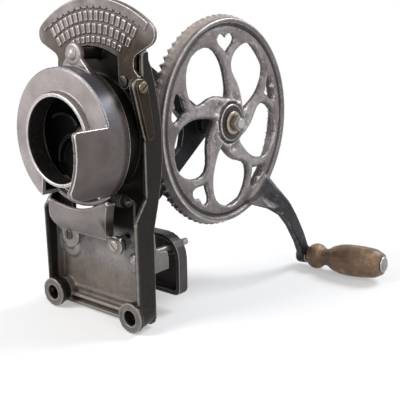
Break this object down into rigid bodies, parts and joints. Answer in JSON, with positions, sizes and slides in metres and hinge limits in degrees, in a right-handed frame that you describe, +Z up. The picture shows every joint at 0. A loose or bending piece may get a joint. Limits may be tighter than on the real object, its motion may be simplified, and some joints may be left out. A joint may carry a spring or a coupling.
{
  "type": "hand-cranked corn sheller",
  "caption": "Cast-iron corn sheller with a round throat, fan-shaped crest, large heart-pierced gear wheel and wooden crank grip; clamps on a board.",
  "frame": {"origin": "middle of the flat back of the lower plate, which lies against the board, halfway between the two bottom bosses", "axes": "+Z up; +X to the crank side; +Y the way the ear goes in, towards the board"},
  "size_m": [0.2845, 0.3742, 0.3349],
  "materials": {
    "frame_iron": "dark oiled cast iron",
    "throat_iron": "worn grey cast iron, smooth",
    "crest_iron": "worn grey cast iron",
    "wheel_iron": "brown-grey cast iron with polished edges",
    "strap_iron": "rusty brown iron",
    "bright_steel": "worn bright steel",
    "dark_steel": "dark oiled steel",
    "grip_wood": "dark varnished hardwood, worn"
  },
  "bodies": {
    "frame": {"frame_casting": "frame_iron", "axle_bracket": "frame_iron", "bracket_bolt_upper": "dark_steel", "bracket_bolt_lower": "dark_steel", "crest_plaque": "crest_iron", "crest_screw_left": "dark_steel", "crest_screw_right": "dark_steel", "side_strap": "strap_iron", "strap_screw": "strap_iron", "throat_pivot_bolt": "bright_steel", "throat_pivot_nut": "dark_steel", "throat_spring": "dark_steel", "spring_anchor": "bright_steel", "apron": "throat_iron", "apron_screw_left": "dark_steel", "apron_screw_right": "bright_steel", "wheel_axle": "bright_steel", "axle_washer": "bright_steel", "axle_nut": "bright_steel", "clamp_bolt_left": "dark_steel", "clamp_bolt_right": "dark_steel"},
    "throat": {"throat_casting": "throat_iron"},
    "disc": {"shelling_disc": "wheel_iron", "disc_shaft": "dark_steel", "bevel_pinion": "wheel_iron", "pinion_nut": "dark_steel"},
    "wheel": {"crank_wheel": "wheel_iron", "grip_bolt": "bright_steel", "grip_washer": "bright_steel"},
    "grip": {"grip": "grip_wood"},
    "jaw": {"clamp_jaw": "frame_iron", "clamp_nut_left": "dark_steel", "clamp_nut_right": "dark_steel"}
  },
  "joints": [
    {"name": "crank_turn", "type": "hinge", "parent": "frame", "child": "wheel", "pos_m": [0, 0.1372, 0.15], "axis": [1, 0, 0], "continuous": true},
    {"name": "disc_turn", "type": "hinge", "parent": "frame", "child": "disc", "pos_m": [0, 0, 0.15], "axis": [0, 1, 0], "continuous": true},
    {"name": "grip_spin", "type": "hinge", "parent": "wheel", "child": "grip", "pos_m": [0.094, 0.25831, -0.03367], "axis": [0.9969, 0, 0.0785], "continuous": true},
    {"name": "throat_swing", "type": "hinge", "parent": "frame", "child": "throat", "pos_m": [0.008, 0, 0.2324], "axis": [0, 1, 0], "range_deg": [0, 6], "stiffness_Nm_per_rad": 4, "springref_deg": -5.73, "deforming": ["throat_spring"]},
    {"name": "jaw_slide", "type": "slide", "parent": "frame", "child": "jaw", "axis": [0, 1, 0], "range_m": [-0.008, 0.006]}
  ],
  "couplings": [
    {"joint": "disc_turn", "follows": "crank_turn", "ratio": 2.5}
  ]
}
